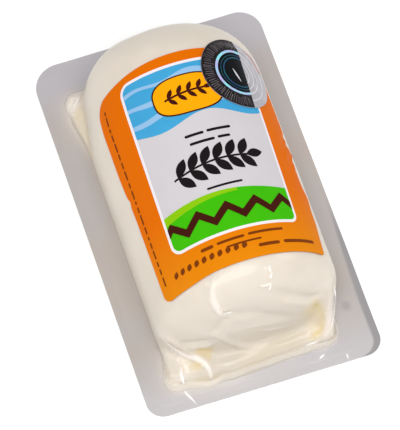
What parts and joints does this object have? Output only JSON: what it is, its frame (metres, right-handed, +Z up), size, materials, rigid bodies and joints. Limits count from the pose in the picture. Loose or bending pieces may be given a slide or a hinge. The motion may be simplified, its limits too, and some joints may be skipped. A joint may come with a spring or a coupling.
{
  "type": "goat cheese log in a clear sealed pack",
  "caption": "Small soft goat cheese log, vacuum sealed in clear formed film with a flat welded rim, a wrap-over paper label and a round foil seal.",
  "frame": {"origin": "middle of the pack's flat underside", "axes": "+Z up out of the underside, +Y along the log to its smooth domed end, -Y to its crumpled end, +X to the side that carries the round seal"},
  "size_m": [0.063, 0.105, 0.0357],
  "materials": {
    "cheese": "moist fresh cheese under tight clear film",
    "clear_film": "clear heat-sealed film, slightly grey where two layers are welded",
    "label_paper": "coated label paper, printed orange with fields of colour",
    "seal_foil": "black and silver patterned foil film"
  },
  "bodies": {
    "root": {"sealed_log": "cheese", "rim_sheet": "clear_film", "label": "label_paper", "round_seal": "seal_foil"}
  },
  "joints": []
}
